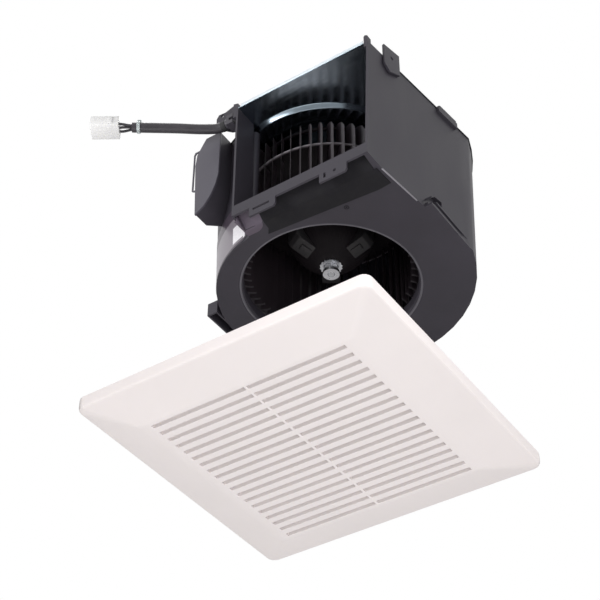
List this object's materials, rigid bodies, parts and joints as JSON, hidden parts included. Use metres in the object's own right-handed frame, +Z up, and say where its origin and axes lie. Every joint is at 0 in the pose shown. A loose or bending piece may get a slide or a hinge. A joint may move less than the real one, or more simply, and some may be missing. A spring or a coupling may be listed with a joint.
{
  "type": "bathroom exhaust fan",
  "caption": "Ceiling exhaust fan: dark scroll blower with a squirrel-cage wheel on an inner motor, plug-in lead, and a square white slotted grille hung below on torsion springs.",
  "frame": {"origin": "on the wheel axis, at the top face of the motor plate, where the blower seats up into its ceiling housing", "axes": "+Z up along the wheel axis, the outlet blows towards -Y, the junction box and lead are on the -X side"},
  "size_m": [0.3406, 0.376, 0.404],
  "materials": {
    "casing_plastic": "moulded matt dark grey, fine grain",
    "galvanised_steel": "galvanised sheet, bluish",
    "zinc_steel": "bright zinc",
    "motor_steel": "plain grey stamped steel",
    "lamination_steel": "varnished steel sheets",
    "winding": "varnished copper wire",
    "bearing_bronze": "sintered bronze",
    "grommet_rubber": "soft black rubber",
    "shaft_steel": "ground steel",
    "pale_plastic": "natural nylon",
    "hub_metal": "turned aluminium",
    "wheel_plastic": "moulded near-black plastic",
    "capacitor_case": "cream plastic case",
    "lead_sleeve": "soft black vinyl sleeve",
    "tie_nylon": "clear nylon",
    "wire_insulation": "dark wire insulation",
    "connector_nylon": "milky white nylon",
    "pin_brass": "plated brass",
    "grille_plastic": "warm white, satin",
    "spring_steel": "bright spring wire"
  },
  "bodies": {
    "blower": {"scroll_casing": "casing_plastic", "side_bracket": "casing_plastic", "ear_bracket": "casing_plastic", "motor_plate": "galvanised_steel", "plate_screws": "zinc_steel", "motor_upper_bell": "motor_steel", "motor_lower_bell": "motor_steel", "stator_core": "lamination_steel", "upper_winding": "winding", "lower_winding": "winding", "upper_bearing": "bearing_bronze", "lower_bearing": "bearing_bronze", "motor_grommets": "grommet_rubber", "motor_screws": "zinc_steel", "bell_screws": "zinc_steel", "junction_box": "casing_plastic", "junction_cover": "casing_plastic", "run_capacitor": "capacitor_case", "wire_splices": "pale_plastic", "motor_leads": "lead_sleeve", "lead_gland": "casing_plastic", "supply_lead": "lead_sleeve", "cable_tie": "tie_nylon", "lead_wires": "wire_insulation", "connector_body": "connector_nylon", "connector_pins": "pin_brass"},
    "wheel": {"motor_shaft": "shaft_steel", "rotor_core": "lamination_steel", "thrust_collar": "pale_plastic", "hub_bush": "hub_metal", "impeller": "wheel_plastic", "star_washer": "zinc_steel", "shaft_nut": "zinc_steel"},
    "grille": {"grille_panel": "grille_plastic", "left_spring_bracket": "grille_plastic", "right_spring_bracket": "grille_plastic"},
    "left_front_spring": {"left_spring_front_arm": "spring_steel"},
    "left_rear_spring": {"left_spring_rear_arm": "spring_steel"},
    "right_front_spring": {"right_spring_front_arm": "spring_steel"},
    "right_rear_spring": {"right_spring_rear_arm": "spring_steel"}
  },
  "joints": [
    {"name": "wheel_spin", "type": "hinge", "parent": "blower", "child": "wheel", "pos_m": [0, 0, 0], "axis": [0, 0, 1], "continuous": true},
    {"name": "grille_drop", "type": "slide", "parent": "blower", "child": "grille", "axis": [0, 0, 1], "range_m": [0, 0.09]},
    {"name": "left_front_swing", "type": "hinge", "parent": "grille", "child": "left_front_spring", "pos_m": [-0.135, -0.01, -0.362], "axis": [-1, 0, 0], "range_deg": [0, 60], "stiffness_Nm_per_rad": 0.3},
    {"name": "left_rear_swing", "type": "hinge", "parent": "grille", "child": "left_rear_spring", "pos_m": [-0.135, -0.01, -0.362], "axis": [1, 0, 0], "range_deg": [0, 60], "stiffness_Nm_per_rad": 0.3},
    {"name": "right_front_swing", "type": "hinge", "parent": "grille", "child": "right_front_spring", "pos_m": [0.105, -0.01, -0.362], "axis": [-1, 0, 0], "range_deg": [0, 60], "stiffness_Nm_per_rad": 0.3},
    {"name": "right_rear_swing", "type": "hinge", "parent": "grille", "child": "right_rear_spring", "pos_m": [0.105, -0.01, -0.362], "axis": [1, 0, 0], "range_deg": [0, 60], "stiffness_Nm_per_rad": 0.3}
  ],
  "couplings": [
    {"joint": "left_rear_swing", "follows": "left_front_swing", "ratio": 1},
    {"joint": "right_rear_swing", "follows": "right_front_swing", "ratio": 1}
  ]
}
